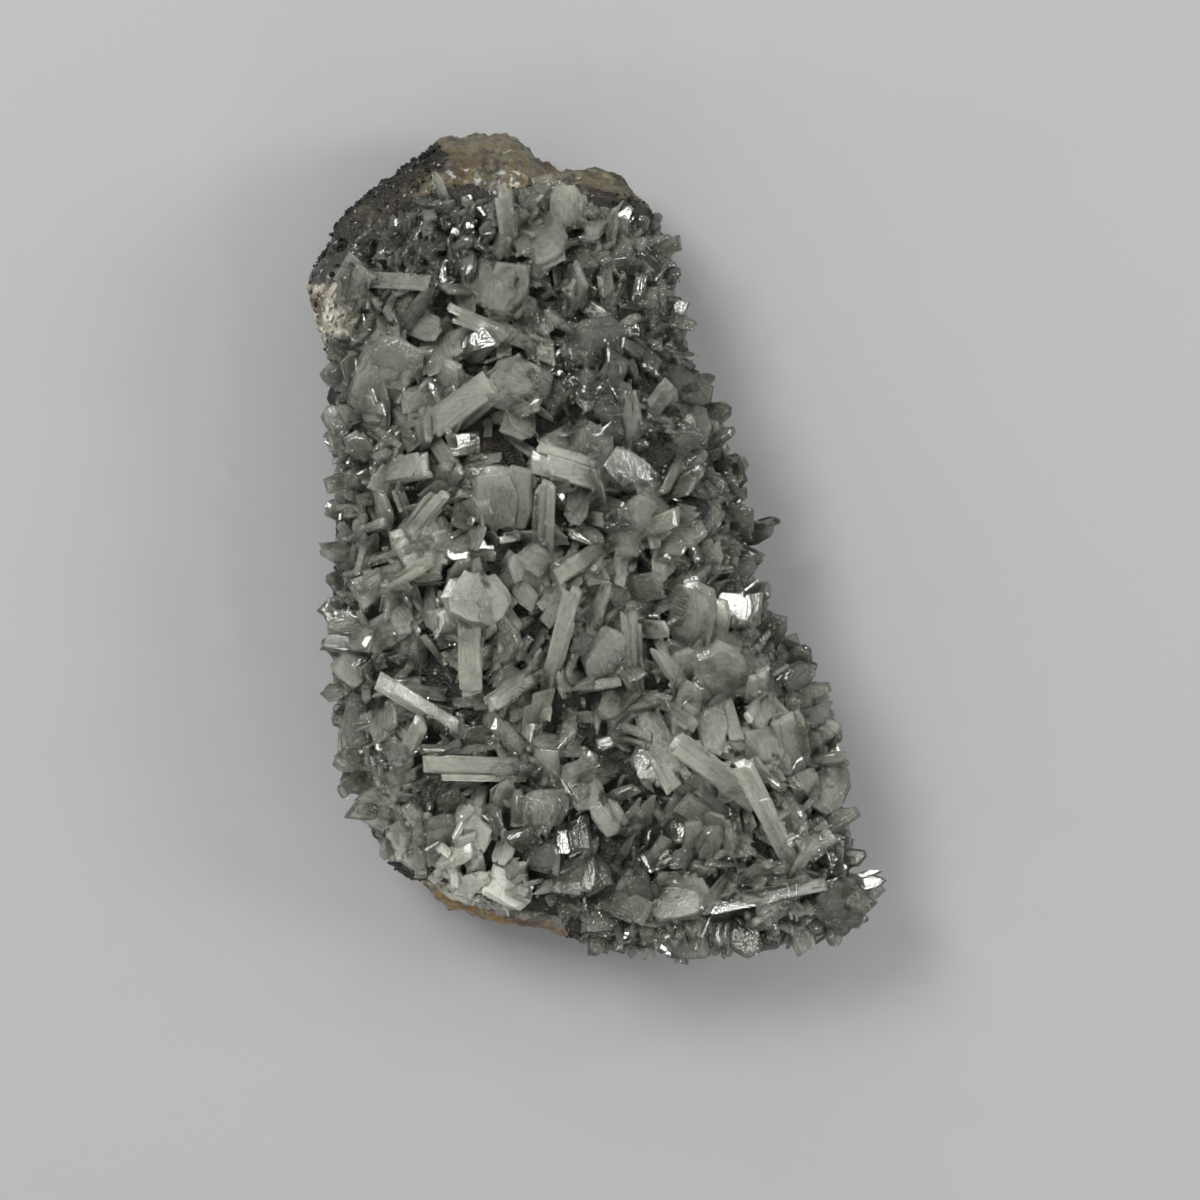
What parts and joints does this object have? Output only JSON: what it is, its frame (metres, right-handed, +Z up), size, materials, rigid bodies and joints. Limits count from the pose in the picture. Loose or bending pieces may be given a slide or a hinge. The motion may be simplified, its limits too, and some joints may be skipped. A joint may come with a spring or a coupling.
{
  "type": "barite crystal specimen",
  "caption": "Hand specimen: interlocked tabular barite crystals covering one face of a dark ore slab with quartz at its ends, flat underneath and lying on its back.",
  "frame": {"origin": "on the surface that the specimen lies on, under the middle of its outline", "axes": "+Z up, out of the crystal face; +Y along the length, towards the end with the bare rock; +X across the width, towards the side where the lower corner juts out"},
  "size_m": [0.0829, 0.1201, 0.0359],
  "materials": {
    "dark_ore": "dark granular sulphide ore, broken faces with small metallic cleavage glints",
    "tan_quartz": "massive waxy quartz, white to tan with rust stains",
    "white_quartz": "massive milky quartz, lumpy",
    "clear_barite": "clear to milky grey tabular crystals, glassy faces with fine growth steps"
  },
  "bodies": {
    "root": {"ore_matrix": "dark_ore", "quartz_rim_upper": "tan_quartz", "quartz_patch_left": "white_quartz", "quartz_rim_lower": "tan_quartz", "barite_druse": "clear_barite"}
  },
  "joints": []
}
